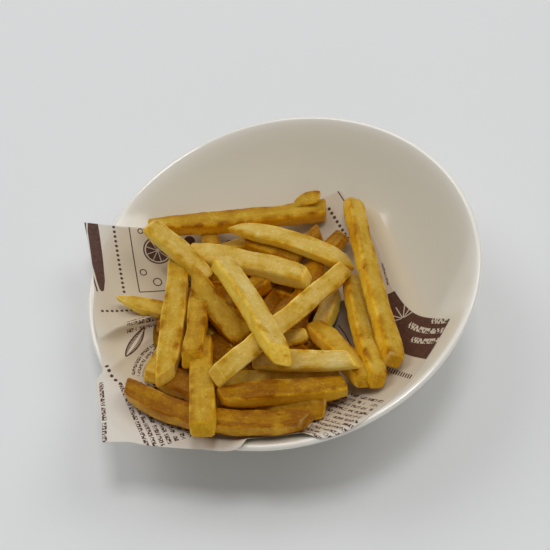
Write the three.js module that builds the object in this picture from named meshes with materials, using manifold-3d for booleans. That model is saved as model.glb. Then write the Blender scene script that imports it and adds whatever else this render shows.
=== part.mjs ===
// A portion of french fries in a slanted bowl lined with printed greaseproof paper.
// Millimetres, +Z up. The origin is on the table, under the middle of the bowl's footprint.
import * as THREE from 'three';
import { mergeVertices } from 'three/addons/utils/BufferGeometryUtils.js';
import Module from 'manifold-3d';

const wasm = await Module();
wasm.setup();

const degree = Math.PI / 180;

// The bowl is part of a spherical shell that leans over on a level foot ring.
const bowl = {
  shellRadius: 146,      // middle of the wall, from the sphere's centre
  rimRadius: 98.4,       // middle of the lip
  lean: 12.4 * degree,   // the rim is low at the left, -X
  floorWall: 4.8,
  rimWall: 3.2,
  centreHeight: 150,     // the sphere's centre over the table
  footX: -20.5,          // the foot stands to the left of the bowl's middle
  arcSteps: 10,
  lipSteps: 5,
  turns: 64,
};

const foot = { outer: 36, inner: 30.5, edge: 1.2, height: 7.2, turns: 48 };

// The liner lies on the wall, and folds over the lip where it reaches past the rim.
// Its corners are given on the flattened wall, from the foot's axis.
const liner = {
  thickness: 0.6,
  radius: 142.9,
  flop: 20 * degree,     // slope of what stands out past the lip
  topLeft: [-84, 40],
  topRight: [61, 63],
  bottomLeft: [-59, -101],
  bottomRight: [117, -45],
  bottomPulls: [[10, -107], [85, -110]],
  leftDraw: 3,
  rightDraw: -10,
  columns: 33,
  rows: 27,
};

// Raised places of the liner: a ridge from one point to another, its height and half width.
const pleats = [
  { from: [-40, -11], to: [-61, -28], height: 6, width: 4.6 },
  { from: [-47, -30], to: [-60, -50], height: 2, width: 4 },
  { from: [12, -106], to: [34, -106], height: 3, width: 4.5 },
  { from: [-78, -68], to: [-50, -98], height: 1.5, width: 7 },
];

// Each fry goes from one end's middle to the other's. Its section is width by height,
// rolled about its length; bow is its sideways bend and tips is what is left of each end.
const fries = [
  // leaning on the back and right wall
  { from: [-46, 38, 26], to: [49, 48, 28], width: 10.2, height: 9.4, roll: 0, bow: -0.6, tips: [0.8, 1] },
  { from: [63, 48, 38], to: [76, -60, 53], width: 9.2, height: 8.2, roll: -20, bow: -0.8, tips: [0.7, 0.9] },
  { from: [60, 3, 30], to: [69, -70, 52], width: 8.6, height: 8.4, roll: -15, bow: -1, tips: [0.8, 0.8] },
  { from: [58, 30, 31], to: [39, 12, 20], width: 9.6, height: 8.8, roll: 10, bow: 0, tips: [0.8, 1] },
  { from: [46, 34, 28], to: [28, 22, 19], width: 9.6, height: 8.6, roll: -15, bow: 0, tips: [0.9, 1] },
  { from: [-15, 46, 22], to: [-11, 24, 16], width: 10, height: 9.2, roll: 0, bow: 0, tips: [1, 1] },
  { from: [24, 37, 20], to: [-12, 27, 16], width: 8.8, height: 8.8, roll: 20, bow: 0, tips: [0.9, 0.9] },
  // the bottom of the heap
  { from: [17, 6, 24], to: [-11, -19, 19], width: 9.8, height: 9.8, roll: 15, bow: 0, tips: [1, 1] },
  { from: [44, 7, 21], to: [18, -20, 16], width: 9.6, height: 9.4, roll: 0, bow: 0, tips: [1, 0.9] },
  { from: [47, 21, 24], to: [32, -15, 26], width: 9.2, height: 9.2, roll: 10, bow: 0, tips: [1, 1] },
  { from: [52, -1, 23], to: [43, -30, 23], width: 9, height: 8.6, roll: 25, bow: 0, tips: [0.9, 0.7] },
  { from: [-11, -15, 16], to: [3, -49, 24], width: 9.8, height: 9.4, roll: 0, bow: 0, tips: [1, 1] },
  { from: [-34, -53, 28], to: [4, -75, 34], width: 11, height: 8.8, roll: 0, bow: 0, tips: [0.9, 1] },
  { from: [-31, -35, 24], to: [-38, -56, 32], width: 9, height: 8.4, roll: 0, bow: 0, tips: [1, 0.9] },
  { from: [-7, -58, 29], to: [52, -60, 38], width: 9.2, height: 8.8, roll: 10, bow: 0, tips: [1, 0.9] },
  { from: [45, -79, 42], to: [0, -76, 36], width: 10.5, height: 8.6, roll: -20, bow: 0, tips: [0.8, 1] },
  { from: [6, 31, 25], to: [35, 18, 24], width: 9, height: 8.6, roll: 0, bow: 0, tips: [1, 1] },
  { from: [-59, -7, 27], to: [-32, -8, 17], width: 9.2, height: 6.8, roll: 0, bow: -1, tips: [0.2, 1] },
  // along the front
  { from: [-48, -65, 38], to: [37, -88, 51], width: 10.6, height: 8.6, roll: -10, bow: -8.6, tips: [0.9, 0.5] },
  { from: [-4, -75, 49], to: [54, -68, 45], width: 10.2, height: 9.6, roll: -12, bow: -1, tips: [0.7, 0.8] },
  // the middle
  { from: [-24, 24, 24], to: [38, 1, 33], width: 10.8, height: 9.8, roll: 0, bow: 1, tips: [0.8, 0.9] },
  { from: [-29, 25, 20], to: [-31, -59, 37], width: 11.4, height: 9.2, roll: 0, bow: 1, tips: [0.8, 0.5] },
  { from: [-16, -6, 30], to: [-18, -52, 42], width: 9.8, height: 9.4, roll: 0, bow: 0, tips: [0.8, 1] },
  { from: [17, -38, 28], to: [37, -32, 34], width: 8.6, height: 7.4, roll: 20, bow: 0, tips: [1, 0.6] },
  { from: [41, -27, 30], to: [63, -68, 49], width: 9.8, height: 9, roll: -10, bow: 1, tips: [0.9, 0.8] },
  { from: [12, -51, 38], to: [58, -60, 54], width: 9.6, height: 8.8, roll: 12, bow: 0, tips: [1, 0.6] },
  { from: [-15, -35, 31], to: [-10, -96, 56], width: 11.4, height: 9, roll: 0, bow: 0, tips: [0.9, 1] },
  { from: [-21, -2, 37], to: [7, -31, 26], width: 13, height: 9.6, roll: 10, bow: -1, tips: [0.5, 1] },
  // the top
  { from: [-45, 32, 38], to: [-14, 6, 24], width: 10.4, height: 8.6, roll: -10, bow: 1, tips: [0.8, 1] },
  { from: [0, 35, 32], to: [61, 11, 32], width: 10.4, height: 7.8, roll: 0, bow: 2, tips: [0.4, 0.4] },
  { from: [-5, -69, 55], to: [57, 5, 35], width: 9.8, height: 9.2, roll: 18, bow: 0, tips: [1, 1] },
  { from: [-5, 4, 43], to: [24, -60, 60], width: 10.2, height: 9.4, roll: -18, bow: 0.5, tips: [1, 0.5] },
];

const fry = { steps: 5, corner: 0.86, tipLength: 0.28 };

// What holds the heap together below the fries that show.
const core = { centre: [2, -19], halfX: 54, halfY: 47, height: 27, turns: 28, rings: 8 };

// The heap keeps this gap to the liner.
const heapGap = 0.35;
const halfSheet = liner.thickness / 2;
const heapRadius = liner.radius - halfSheet - heapGap;

const place = (x, y, z) => new THREE.Vector3(x, y, z);
const mix = (a, b, t) => a + (b - a) * t;
const clamp = THREE.MathUtils.clamp;

// A closed solid from a geometry, with its doubled corners joined.
function solid(geometry) {
  geometry.deleteAttribute('normal');
  geometry.deleteAttribute('uv');
  const joined = mergeVertices(geometry, 1e-4);
  return new wasm.Manifold(new wasm.Mesh({
    numProp: 3,
    vertProperties: new Float32Array(joined.attributes.position.array),
    triVerts: new Uint32Array(joined.index.array),
  }));
}

function geometryOf(body) {
  const mesh = body.getMesh();
  const geometry = new THREE.BufferGeometry();
  geometry.setAttribute('position', new THREE.BufferAttribute(mesh.vertProperties, 3));
  geometry.setIndex(new THREE.BufferAttribute(mesh.triVerts, 1));
  return geometry;
}

// Moves every corner of a geometry by a rule that takes and gives a point.
function reshape(geometry, rule) {
  const spot = geometry.attributes.position;
  for (let i = 0; i < spot.count; i++) {
    const p = rule(spot.getX(i), spot.getY(i), spot.getZ(i));
    spot.setXYZ(i, p.x, p.y, p.z);
  }
  return geometry;
}

// Half of the wall's thickness at an angle up from the bottom of the shell.
const rimAngle = Math.asin(bowl.rimRadius / bowl.shellRadius);
const halfWall = (angle) => mix(bowl.floorWall, bowl.rimWall, angle / rimAngle) / 2;

function bowlShell() {
  const profile = [];
  const add = (radius, angle) => {
    profile.push(new THREE.Vector2(radius * Math.sin(angle), -radius * Math.cos(angle)));
  };
  for (let i = 0; i <= bowl.arcSteps; i++) {
    const angle = rimAngle * i / bowl.arcSteps;
    add(bowl.shellRadius + halfWall(angle), angle);
  }
  for (let i = 1; i < bowl.lipSteps; i++) {
    const around = Math.PI * i / bowl.lipSteps;
    const lip = bowl.rimWall / 2;
    const rise = lip * Math.sin(around) / bowl.shellRadius;
    add(bowl.shellRadius + lip * Math.cos(around), rimAngle + rise);
  }
  for (let i = bowl.arcSteps; i >= 0; i--) {
    const angle = rimAngle * i / bowl.arcSteps;
    add(bowl.shellRadius - halfWall(angle), angle);
  }
  profile[0].x = 0;
  profile[profile.length - 1].x = 0;
  const shell = new THREE.LatheGeometry(profile, bowl.turns);
  shell.rotateX(Math.PI / 2);
  shell.rotateY(-bowl.lean);
  shell.translate(0, 0, bowl.centreHeight);
  return shell;
}

function footRing() {
  const corners = [
    [foot.inner + foot.edge, 0],
    [foot.outer - foot.edge, 0],
    [foot.outer, foot.edge],
    [foot.outer + 1, foot.height],
    [foot.inner - 1, foot.height],
    [foot.inner, foot.edge],
    [foot.inner + foot.edge, 0],
  ];
  const ring = new THREE.LatheGeometry(corners.map(([r, z]) => new THREE.Vector2(r, z)), foot.turns);
  return ring.rotateX(Math.PI / 2);
}

// How far up the shell the rim is, seen from the foot's axis at a compass angle.
const planeDrop = Math.sqrt(bowl.shellRadius ** 2 - bowl.rimRadius ** 2);
function rimReach(compass) {
  const across = -Math.sin(bowl.lean) * Math.cos(compass);
  const along = Math.cos(bowl.lean);
  const size = Math.hypot(across, along);
  return Math.acos(planeDrop / (bowl.shellRadius * size)) - Math.atan2(across, along);
}

// A point of the flattened wall, put back on the wall and raised off it. Past the rim
// the sheet turns about the lip and runs on straight.
function onWall(x, y, raise) {
  const compass = Math.atan2(y, x);
  const reach = rimReach(compass);
  const past = Math.hypot(x, y) - reach * liner.radius;
  let out;
  let up;
  if (past <= 0) {
    const angle = Math.hypot(x, y) / liner.radius;
    out = (liner.radius - raise) * Math.sin(angle);
    up = -(liner.radius - raise) * Math.cos(angle);
  } else {
    const gap = bowl.shellRadius - liner.radius + raise;
    const turn = reach - liner.flop;
    const bent = Math.min(past / (gap * turn), 1) * turn;
    const straight = Math.max(past - gap * turn, 0);
    const slope = reach - bent;
    out = bowl.shellRadius * Math.sin(reach) - gap * Math.sin(slope) + straight * Math.cos(slope);
    up = -bowl.shellRadius * Math.cos(reach) + gap * Math.cos(slope) + straight * Math.sin(slope);
  }
  return place(out * Math.cos(compass), out * Math.sin(compass), bowl.centreHeight + up);
}

function bezier(points, t) {
  const s = 1 - t;
  const weight = [s * s * s, 3 * s * s * t, 3 * s * t * t, t * t * t];
  return [0, 1].map((k) => points.reduce((sum, p, i) => sum + weight[i] * p[k], 0));
}

// The flat sheet between its four edges, blended from them (a Coons patch).
function sheetPoint(u, v) {
  const bottom = bezier([liner.bottomLeft, ...liner.bottomPulls, liner.bottomRight], u);
  const swell = 4 * v * (1 - v);
  return [0, 1].map((k) => {
    const top = mix(liner.topLeft[k], liner.topRight[k], u);
    const left = mix(liner.bottomLeft[k], liner.topLeft[k], v) + (k ? 0 : liner.leftDraw * swell);
    const right = mix(liner.bottomRight[k], liner.topRight[k], v) + (k ? 0 : liner.rightDraw * swell);
    const low = mix(liner.bottomLeft[k], liner.bottomRight[k], u);
    const high = mix(liner.topLeft[k], liner.topRight[k], u);
    return mix(bottom[k], top, v) + mix(left, right, u) - mix(low, high, v);
  });
}

function pleatHeight(x, y) {
  let height = 0;
  for (const pleat of pleats) {
    const [ax, ay] = pleat.from;
    const [bx, by] = pleat.to;
    const length = Math.hypot(bx - ax, by - ay);
    const along = ((x - ax) * (bx - ax) + (y - ay) * (by - ay)) / length;
    const beside = ((x - ax) * (by - ay) - (y - ay) * (bx - ax)) / length;
    const beyond = Math.max(-along, along - length, 0);
    height += pleat.height * Math.exp(-((beside ** 2 + beyond ** 2) / pleat.width ** 2));
  }
  return height;
}

// The sheet as a slab between two heights over its middle.
function paperSlab(low, high) {
  const block = new THREE.BoxGeometry(1, 1, 1, liner.columns, liner.rows, 1);
  return reshape(block, (x, y, z) => {
    const [sx, sy] = sheetPoint(x + 0.5, y + 0.5);
    return onWall(sx, sy, pleatHeight(sx, sy) + mix(low, high, z + 0.5));
  });
}

// A bar with rounded edges that thins towards its ends and bends to one side.
function fryBar({ from, to, width, height, roll, bow, tips }) {
  const start = place(...from);
  const axis = place(...to).sub(start);
  const along = axis.clone().normalize();
  const side = new THREE.Vector3().crossVectors(place(0, 0, 1), along).normalize();
  const up = new THREE.Vector3().crossVectors(along, side);
  side.applyAxisAngle(along, roll * degree);
  up.applyAxisAngle(along, roll * degree);
  const level = new THREE.Vector3().crossVectors(place(0, 0, 1), along).normalize();
  const bar = new THREE.BoxGeometry(1, 1, 1, fry.steps, 2, 2);
  return reshape(bar, (x, y, z) => {
    const t = x + 0.5;
    const thin = Math.min(
      mix(tips[0], 1, Math.sqrt(clamp(t / fry.tipLength, 0, 1))),
      mix(tips[1], 1, Math.sqrt(clamp((1 - t) / fry.tipLength, 0, 1))),
    );
    const round = y !== 0 && z !== 0 ? fry.corner : 1;
    return start.clone()
      .addScaledVector(axis, t)
      .addScaledVector(side, y * width * thin * round)
      .addScaledVector(up, z * height * thin * round)
      .addScaledVector(level, bow * 4 * t * (1 - t));
  });
}

// A lens that fills the bottom of the heap: its underside follows the wall.
function heapCore() {
  const ball = new THREE.SphereGeometry(1, core.turns, core.rings);
  return reshape(ball, (x, y, z) => {
    const px = core.centre[0] + core.halfX * x;
    const py = core.centre[1] + core.halfY * z;
    const wall = bowl.centreHeight - Math.sqrt(heapRadius ** 2 - px ** 2 - py ** 2);
    return place(px, py, wall + 0.4 + core.height * (1 + y) * (1 - x * x - z * z) / 2);
  });
}

// Fused fries and core, cut back to the room that the liner leaves them.
function heapOfFries() {
  let heap = solid(flip(heapCore()));
  for (const one of fries) {
    heap = heap.add(solid(fryBar(one)));
  }
  const room = new THREE.SphereGeometry(heapRadius, 96, 64);
  room.translate(0, 0, bowl.centreHeight);
  const liningBelow = paperSlab(-halfSheet - 1, halfSheet + heapGap);
  const cut = heap.intersect(solid(room)).subtract(solid(liningBelow));
  const [whole] = cut.decompose().sort((a, b) => b.volume() - a.volume());
  return whole;
}

// Turns a mirrored mesh the right way out.
function flip(geometry) {
  const index = geometry.index.array;
  for (let i = 0; i < index.length; i += 3) {
    [index[i], index[i + 1]] = [index[i + 1], index[i]];
  }
  return geometry;
}

function named(name, body, colour, roughness) {
  const material = new THREE.MeshStandardMaterial({ color: colour, roughness, metalness: 0 });
  const mesh = new THREE.Mesh(geometryOf(body), material);
  mesh.name = name;
  return mesh;
}

const served = new THREE.Group();
served.position.x = bowl.footX;
served.add(named('bowl', solid(bowlShell()).add(solid(footRing())), 0xe9e5da, 0.2));
served.add(named('paper_liner', solid(paperSlab(-halfSheet, halfSheet)), 0xd8d2c8, 0.7));
served.add(named('fries', heapOfFries(), 0xd2b155, 0.55));

export default served;
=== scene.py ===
import bpy
import numpy as np
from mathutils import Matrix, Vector


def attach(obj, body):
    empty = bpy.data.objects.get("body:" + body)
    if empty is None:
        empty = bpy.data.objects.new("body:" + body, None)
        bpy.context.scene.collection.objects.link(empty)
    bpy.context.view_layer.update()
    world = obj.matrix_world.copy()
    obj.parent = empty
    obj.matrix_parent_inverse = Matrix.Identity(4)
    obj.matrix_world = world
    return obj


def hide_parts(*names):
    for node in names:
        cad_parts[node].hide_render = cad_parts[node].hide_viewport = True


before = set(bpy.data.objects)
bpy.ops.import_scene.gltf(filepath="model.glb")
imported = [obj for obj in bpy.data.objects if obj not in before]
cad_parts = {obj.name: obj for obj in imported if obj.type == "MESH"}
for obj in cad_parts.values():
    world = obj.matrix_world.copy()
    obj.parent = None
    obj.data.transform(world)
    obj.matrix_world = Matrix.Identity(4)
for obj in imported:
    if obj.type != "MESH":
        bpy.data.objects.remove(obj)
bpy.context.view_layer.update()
mm = 0.001
print("frame loaded:", ", ".join(sorted(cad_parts)))


# The camera and the studio lamps.
view = dict(
    focal=66.0,                # on a 36 mm sensor
    height=455.5 * mm,
    back=293.0 * mm,
    right=1.1 * mm,
    downTilt=np.radians(35),   # from straight down
)

camera = bpy.data.objects.new("camera", bpy.data.cameras.new("camera"))
camera.data.lens = view["focal"]
camera.data.sensor_width = 36
camera.location = (view["right"], -view["back"], view["height"])
camera.rotation_euler = (view["downTilt"], 0, 0)
bpy.context.scene.collection.objects.link(camera)
bpy.context.scene.camera = camera

studio = dict(
    distance=3.0,
    # compass heading from the back towards the right, height over the table, width and
    # height of the lamp, watts
    lamps=[(0, 35, 1.8, 1.8, 7.0), (0, 85, 0.75, 0.75, 19.5), (-60, 50, 1.6, 1.6, 20.5),
           (60, 50, 1.6, 1.6, 17.0), (176, 22, 0.8, 2.0, 3.8)],
    world=0.21,
)


def addLamp(name, compass, height, wide, tall, power):
    compass, height = np.radians(compass), np.radians(height)
    level = np.cos(height)
    toward = Vector((level * np.sin(compass), level * np.cos(compass), np.sin(height)))
    lamp = bpy.data.lights.new(name, "AREA")
    lamp.shape = "RECTANGLE"
    lamp.size, lamp.size_y = wide, tall
    lamp.energy = power
    holder = bpy.data.objects.new(name, lamp)
    holder.location = toward * studio["distance"]
    holder.rotation_euler = toward.to_track_quat("Z", "Y").to_euler()
    bpy.context.scene.collection.objects.link(holder)


for number, lampRow in enumerate(studio["lamps"]):
    addLamp(f"lamp{number}", *lampRow)
world = bpy.data.worlds.new("studio")
world.use_nodes = True
backdrop = world.node_tree.nodes["Background"]
backdrop.inputs["Color"].default_value = (1, 1, 1, 1)
backdrop.inputs["Strength"].default_value = studio["world"]
bpy.context.scene.world = world
bpy.context.scene.view_settings.view_transform = "Standard"
print("camera and lights placed")


# A grid of points, rows by columns, as faces of four corners. Where closed is true, the
# last column is joined to the first.
def gridFaces(rows, columns, closed, first=0):
    across = columns if closed else columns - 1
    row = np.arange(rows - 1)[:, None]
    column = np.arange(across)[None, :]
    beside = (column + 1) % columns
    a = row * columns + column
    b = row * columns + beside
    faces = np.stack([a, b, b + columns, a + columns], axis=-1)
    return faces.reshape(-1, 4) + first


# A fan of triangles from one point to a ring of them.
def fanFaces(ringStart, count, centre, turned):
    here = ringStart + np.arange(count)
    there = ringStart + (np.arange(count) + 1) % count
    middle = np.full(count, centre)
    order = (here, middle, there) if turned else (here, there, middle)
    return np.stack(order, axis=-1)


def makePiece(name, points, quads, triangles, material, attributes=None, uv=None, flatFaces=0):
    mesh = bpy.data.meshes.new(name)
    faces = quads.tolist() + (triangles.tolist() if len(triangles) else [])
    mesh.from_pydata(points.tolist(), [], faces)
    mesh.polygons.foreach_set("use_smooth", np.arange(len(faces)) < len(faces) - flatFaces)
    for label, values in (attributes or {}).items():
        kind, field = ("FLOAT", "value") if values.ndim == 1 else ("FLOAT_VECTOR", "vector")
        layer = mesh.attributes.new(label, kind, "POINT")
        layer.data.foreach_set(field, values.astype(np.float32).ravel())
    if uv is not None:
        corner = np.zeros(len(mesh.loops), np.int32)
        mesh.loops.foreach_get("vertex_index", corner)
        mesh.uv_layers.new(name="sheet").data.foreach_set("uv", uv[corner].astype(np.float32).ravel())
    mesh.validate()
    mesh.update()
    mesh.materials.append(material)
    piece = bpy.data.objects.new(name, mesh)
    bpy.context.scene.collection.objects.link(piece)
    return piece


# Smooth noise of about -1 to 1: sine waves that run in drawn directions, added up.
def ripple(points, wavelength, draw, waves=14):
    heading = draw.normal(size=(waves, 3))
    heading /= np.linalg.norm(heading, axis=1)[:, None]
    pace = 2 * np.pi / wavelength * draw.uniform(0.7, 1.4, waves)
    phase = draw.uniform(0, 2 * np.pi, waves)
    return np.sin(points @ (heading * pace[:, None]).T + phase).sum(-1) / np.sqrt(waves)


# A material's node tree, and short ways to add to it.
class Wiring:
    def __init__(self, name):
        self.material = bpy.data.materials.new(name)
        self.material.use_nodes = True
        self.nodes = self.material.node_tree.nodes
        self.links = self.material.node_tree.links
        self.shader = self.nodes["Principled BSDF"]

    def join(self, value, socket):
        if isinstance(value, bpy.types.NodeSocket):
            self.links.new(value, socket)
        else:
            socket.default_value = value

    def add(self, kind, inputs=(), **settings):
        node = self.nodes.new(kind)
        for key, value in settings.items():
            setattr(node, key, value)
        for key, value in dict(inputs).items():
            self.join(value, node.inputs[key])
        return node

    def calc(self, operation, first, second=0.0, third=0.0, clamp=False):
        node = self.add("ShaderNodeMath", {0: first, 1: second, 2: third}, operation=operation)
        node.use_clamp = clamp
        return node.outputs[0]

    def noise(self, where, scale, detail=3.0, roughness=0.5):
        values = {"Vector": where, "Scale": scale, "Detail": detail, "Roughness": roughness}
        return self.add("ShaderNodeTexNoise", values).outputs["Fac"]

    def ramp(self, value, stops):
        node = self.add("ShaderNodeValToRGB", {"Fac": value})
        colours = node.color_ramp.elements
        while len(colours) < len(stops):
            colours.new(0.5)
        for element, (place, colour) in zip(colours, stops):
            element.position = place
            element.color = (*colour, 1)
        return node.outputs["Color"]

    def mix(self, share, first, second):
        node = self.add("ShaderNodeMix", {"Factor": share}, data_type="RGBA")
        self.join(first, node.inputs[6])
        self.join(second, node.inputs[7])
        return node.outputs[2]

    def bump(self, height, strength, distance):
        values = {"Height": height, "Strength": strength, "Distance": distance}
        return self.add("ShaderNodeBump", values).outputs["Normal"]

    def set(self, **values):
        for label, value in values.items():
            self.join(value, self.shader.inputs[label.replace("_", " ")])


floorLook = dict(half=6.0, colour=(0.845, 0.855, 0.86), roughness=0.55)


def makeFloor():
    wiring = Wiring("pale_table")
    where = wiring.add("ShaderNodeTexCoord").outputs["Object"]
    cloud = wiring.noise(where, 3.0, 2.0)
    light, dark = floorLook["colour"], tuple(0.985 * c for c in floorLook["colour"])
    wiring.set(Base_Color=wiring.mix(cloud, (*dark, 1), (*light, 1)), Roughness=floorLook["roughness"])
    half = floorLook["half"]
    corners = np.array([(-half, -half, 0), (half, -half, 0), (half, half, 0), (-half, half, 0)])
    floor = makePiece("table_top", corners, np.array([[0, 1, 2, 3]]), [], wiring.material)


makeFloor()


# The bowl: a spherical shell cut off by a leaning plane, on a foot ring.
bowl = dict(
    footX=-20.5 * mm,          # the foot's axis in the frame
    shell=146.0 * mm,          # middle of the wall, from the sphere's centre
    rim=98.4 * mm,             # middle of the lip
    lean=np.radians(12.4),
    centreHeight=150.0 * mm,
    floorWall=4.8 * mm,
    rimWall=3.2 * mm,
    footOuter=36.0 * mm,
    footInner=30.5 * mm,
    footEdge=1.1 * mm,         # rounding of the foot's two edges
    footHollow=1.8 * mm,       # rounding where the foot meets the shell
    turns=240,
)
rimAngle = np.arcsin(bowl["rim"] / bowl["shell"])
planeDrop = np.sqrt(bowl["shell"] ** 2 - bowl["rim"] ** 2)
centre = np.array([bowl["footX"], 0, bowl["centreHeight"]])
downAxis = np.array([np.sin(bowl["lean"]), 0, -np.cos(bowl["lean"])])


# How far up the shell the rim is at a compass angle, seen from the foot's axis.
def rimReach(compass):
    across = -np.sin(bowl["lean"]) * np.cos(compass)
    along = np.cos(bowl["lean"])
    size = np.hypot(across, along)
    return np.arccos(planeDrop / (bowl["shell"] * size)) - np.arctan2(across, along)


# Directions from the sphere's centre, by the angle up from the bottom and the compass.
def heading(angle, compass):
    return np.stack([np.sin(angle) * np.cos(compass), np.sin(angle) * np.sin(compass), -np.cos(angle)], -1)


# The wall thins evenly from the bottom to the rim.
def halfWall(direction):
    angle = np.arccos(np.clip(direction @ downAxis, -1, 1))
    share = angle / rimAngle
    return (bowl["floorWall"] * (1 - share) + bowl["rimWall"] * share) / 2


# Points on part of a circle, from one angle to another in degrees.
def arc(middle, radius, start, end, count):
    angle = np.radians(np.linspace(start, end, count))
    return np.stack([middle[0] + radius * np.cos(angle), middle[1] + radius * np.sin(angle)], -1)


# The shell is a sphere about the foot's axis, so every row of the grid is level with the
# foot up to the rim, and only the rim's height changes round the compass.
def makeBowl(material):
    compass = np.linspace(0, 2 * np.pi, bowl["turns"], endpoint=False)
    outerRadius = bowl["shell"] + bowl["floorWall"] / 2 * 0.96
    inner, outer, edge, hollow = (bowl[k] for k in ("footInner", "footOuter", "footEdge", "footHollow"))
    shellAt = lambda radius: bowl["centreHeight"] - np.sqrt(outerRadius ** 2 - radius ** 2)
    recess = np.linspace(0.0, inner - 1.6 * hollow, 12)[1:]
    footProfile = np.concatenate([
        np.stack([recess, shellAt(recess)], -1),
        arc((inner - hollow, shellAt(inner) - 1.15 * hollow), hollow, 80, 0, 6),
        arc((inner + edge, edge), edge, 180, 270, 6),
        arc((outer - edge, edge), edge, 270, 360, 6),
        arc((outer + hollow, shellAt(outer) - 0.8 * hollow), hollow, 180, 118, 6),
    ])
    ring = np.stack([np.cos(compass), np.sin(compass)], -1)
    foot = np.zeros((len(footProfile), bowl["turns"], 3))
    foot[..., :2] = footProfile[:, None, :1] * ring[None]
    foot[..., 0] += bowl["footX"]
    foot[..., 2] = footProfile[:, None, 1]
    reach = rimReach(compass)
    start = np.arcsin((outer + 1.9 * hollow) / outerRadius)
    climb = np.linspace(0, 1, 56)[:, None]
    upward = heading(start + (reach[None] - start) * climb, compass[None] + 0 * climb)
    outside = centre + upward * (bowl["shell"] + halfWall(upward))[..., None]
    atRim = upward[-1]
    lean = np.clip(atRim @ downAxis, -1, 1)
    rise = (atRim * lean[:, None] - downAxis) / np.sqrt(1 - lean ** 2)[:, None]
    turn = np.linspace(0, np.pi, 15)[1:-1, None, None]
    lip = centre + atRim * bowl["shell"] + bowl["rimWall"] / 2 * (np.cos(turn) * atRim + np.sin(turn) * rise)
    descent = np.linspace(1, 0.012, 90)[:, None]
    inward = heading(reach[None] * descent, compass[None] + 0 * descent)
    inside = centre + inward * (bowl["shell"] - halfWall(inward))[..., None]
    grid = np.concatenate([foot, outside, lip, inside])
    rows = len(grid)
    under = (bowl["footX"], 0, shellAt(0.0))
    floorPoint = centre + np.array([0, 0, -1]) * (bowl["shell"] - halfWall(np.array([0, 0, -1])))
    points = np.concatenate([grid.reshape(-1, 3), [under], [floorPoint]])
    # painted highlight on and near the lip: falls off with the way along the wall from the lip
    fromLip = [np.ones(foot.shape[:2]), bowl["shell"] * (reach - start) * (1 - climb),
               np.zeros(lip.shape[:2]), bowl["shell"] * reach * (1 - descent)]
    lipHighlightShare = np.append(np.exp(-np.concatenate(fromLip) / glaze["lipHighlightReach"]), [0, 0])
    quads = gridFaces(rows, bowl["turns"], True)
    last = (rows - 1) * bowl["turns"]
    triangles = np.concatenate([
        fanFaces(0, bowl["turns"], rows * bowl["turns"], True),
        fanFaces(last, bowl["turns"], rows * bowl["turns"] + 1, False),
    ])
    piece = makePiece("glazed_bowl", points, quads, triangles, material, dict(lip=lipHighlightShare))
    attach(piece, "root")
    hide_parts("bowl")
    return piece


glaze = dict(
    colour=(0.755, 0.695, 0.56),
    bare=(0.62, 0.58, 0.50),     # unglazed foot
    roughness=0.12,
    bareHeight=1.0 * mm,
    lip=(0.96, 0.92, 0.83),     # painted highlight: the glaze is painted whiter on and near the lip
    lipHighlightReach=4.5 * mm,
)


def glazeMaterial():
    wiring = Wiring("cream_glaze")
    where = wiring.add("ShaderNodeTexCoord").outputs["Object"]
    height = wiring.add("ShaderNodeSeparateXYZ", {"Vector": where}).outputs["Z"]
    bare = wiring.calc("LESS_THAN", height, glaze["bareHeight"])
    cloud = wiring.noise(where, 18.0, 2.0)
    pale = wiring.mix(cloud, (*(0.985 * np.array(glaze["colour"])), 1), (*glaze["colour"], 1))
    # painted highlight: the glaze colour is mixed towards white on and near the lip
    lip = wiring.add("ShaderNodeAttribute", attribute_name="lip").outputs["Fac"]
    pale = wiring.mix(lip, pale, (*glaze["lip"], 1))
    wiring.set(Base_Color=wiring.mix(bare, pale, (*glaze["bare"], 1)))
    wiring.set(Roughness=wiring.calc("MULTIPLY_ADD", bare, 0.5, glaze["roughness"]))
    swell = wiring.noise(where, 55.0, 1.0)
    wiring.set(Normal=wiring.bump(swell, 0.12, 0.6 * mm))
    wiring.set(Specular_IOR_Level=0.6, Coat_Weight=1.0, Coat_Roughness=0.11)
    return wiring.material


makeBowl(glazeMaterial())
print("bowl made")


# The sheet's outline on the flattened wall, in millimetres from the foot's axis.
liner = dict(
    radius=142.9 * mm,         # of the wall that the outline is measured on
    thickness=0.14 * mm,
    clearance=0.22 * mm,       # from the wall to the middle of the sheet
    flop=np.radians(20),       # slope of what stands out past the lip
    top=[(-83.6, 39.7), (-64.7, 41.3), (-49.6, 43.6), (-25, 47), (12, 53), (60.7, 63.3)],
    right=[(116.8, -44.6), (97.5, -27.8), (85.3, -1.7), (77.3, 32.2), (60.7, 63.3)],
    bottom=[(-59, -100.9), (-37, -102.3), (-12.9, -105.4), (4.2, -108.6), (13, -103.5), (20.2, -101.1),
            (36.3, -104.9), (47.2, -108.2), (57, -106.6), (66.5, -102.5), (75, -97), (82.5, -90.5),
            (94.2, -78.1), (102.3, -66.7), (116.8, -44.6)],
    left=[(-59, -100.9), (-64.8, -74.6), (-66.9, -61.3), (-65.2, -50.6), (-72.5, -22), (-74.5, 0.7),
          (-78.5, 20), (-83.6, 39.7)],
    columns=210,
    rows=170,
)

# Ridges of the sheet: from, to, height, and how far each side spreads, the left one first,
# all in millimetres.
pleats = [
    ((-40, -11), (-60, -26), 6.5, 2.2, 7.0),
    ((-47, -30), (-60, -50), 2.0, 4.0, 4.0),
    ((12, -106), (34, -106), 3.0, 5.0, 4.0),
    ((-78, -68), (-50, -98), 1.5, 7.0, 7.0),
]


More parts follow.
